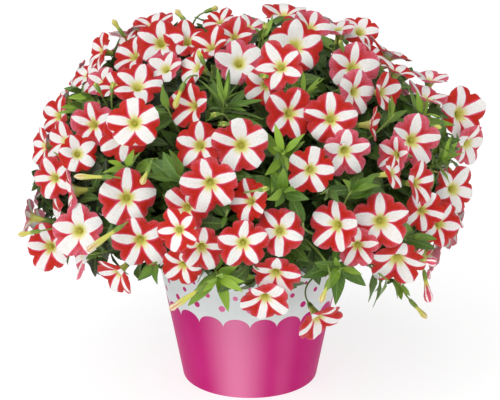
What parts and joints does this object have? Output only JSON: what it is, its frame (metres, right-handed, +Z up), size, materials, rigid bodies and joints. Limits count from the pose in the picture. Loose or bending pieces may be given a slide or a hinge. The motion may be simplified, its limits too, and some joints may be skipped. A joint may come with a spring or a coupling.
{
  "type": "potted petunia",
  "caption": "Bushy petunia in full bloom in a round tapered pot: a wide low dome of five-lobed star-striped blooms over leafy shoots that spill past the rim.",
  "frame": {"origin": "centre of the pot's underside", "axes": "+Z up along the pot's axis, -Y towards the side from which the picture was taken, +X to that viewer's right"},
  "size_m": [0.4725, 0.466, 0.386],
  "materials": {
    "pot_plastic": "printed gloss, magenta below and pale grey above",
    "soil": "damp crumbly potting compost",
    "petal": "velvety red with a white star",
    "leaf": "soft, slightly sticky green leaf with fine hairs"
  },
  "bodies": {
    "root": {"pot": "pot_plastic", "soil": "soil", "flower_spray_01": "petal", "flower_spray_02": "petal", "flower_spray_03": "petal", "flower_spray_04": "petal", "flower_spray_05": "petal", "flower_spray_06": "petal", "flower_spray_07": "petal", "flower_spray_08": "petal", "flower_spray_09": "petal", "flower_spray_10": "petal", "flower_spray_11": "petal", "flower_spray_12": "petal", "flower_spray_13": "petal", "flower_spray_14": "petal", "flower_spray_15": "petal", "flower_spray_16": "petal", "flower_spray_17": "petal", "flower_spray_18": "petal", "flower_spray_19": "petal", "flower_spray_20": "petal", "flower_spray_21": "petal", "flower_spray_22": "petal", "flower_spray_23": "petal", "flower_spray_24": "petal", "flower_spray_25": "petal", "flower_spray_26": "petal", "flower_spray_27": "petal", "flower_spray_28": "petal", "leafy_shoot_01": "leaf", "leafy_shoot_02": "leaf", "leafy_shoot_03": "leaf", "leafy_shoot_04": "leaf", "leafy_shoot_05": "leaf", "leafy_shoot_06": "leaf", "leafy_shoot_07": "leaf", "leafy_shoot_08": "leaf", "leafy_shoot_09": "leaf", "leafy_shoot_10": "leaf", "leafy_shoot_11": "leaf", "leafy_shoot_12": "leaf", "leafy_shoot_13": "leaf", "leafy_shoot_14": "leaf"}
  },
  "joints": []
}
